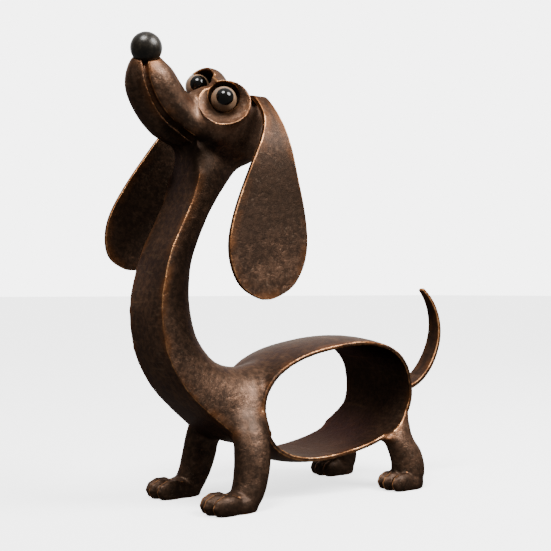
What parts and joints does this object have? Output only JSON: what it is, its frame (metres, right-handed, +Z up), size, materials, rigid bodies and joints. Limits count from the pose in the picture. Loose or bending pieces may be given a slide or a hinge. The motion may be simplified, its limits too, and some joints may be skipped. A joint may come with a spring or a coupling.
{
  "type": "dog sculpture",
  "caption": "Long-eared dog figure in dark patinated cast metal, standing on its paws with its head turned up; its body is an open oval ring that can hold a roll or a bottle.",
  "frame": {"origin": "on the floor, at the middle of the figure's length and width", "axes": "+Z up, -X the way the dog faces, -Y the dog's left side"},
  "size_m": [0.4088, 0.1676, 0.4455],
  "materials": {
    "casting": "dark brown bronze patina, worn to copper on the edges",
    "nose": "near-black, satin",
    "sheet": "dark brown bronze patina, worn to copper on the edges",
    "eyeball": "aged cream, satin",
    "iris": "black, high gloss"
  },
  "bodies": {
    "root": {"body_casting": "casting", "nose_ball": "nose", "ear_left": "sheet", "ear_right": "sheet", "tail": "sheet", "eyeball_left": "eyeball", "eyeball_right": "eyeball", "iris_left": "iris", "iris_right": "iris"}
  },
  "joints": []
}
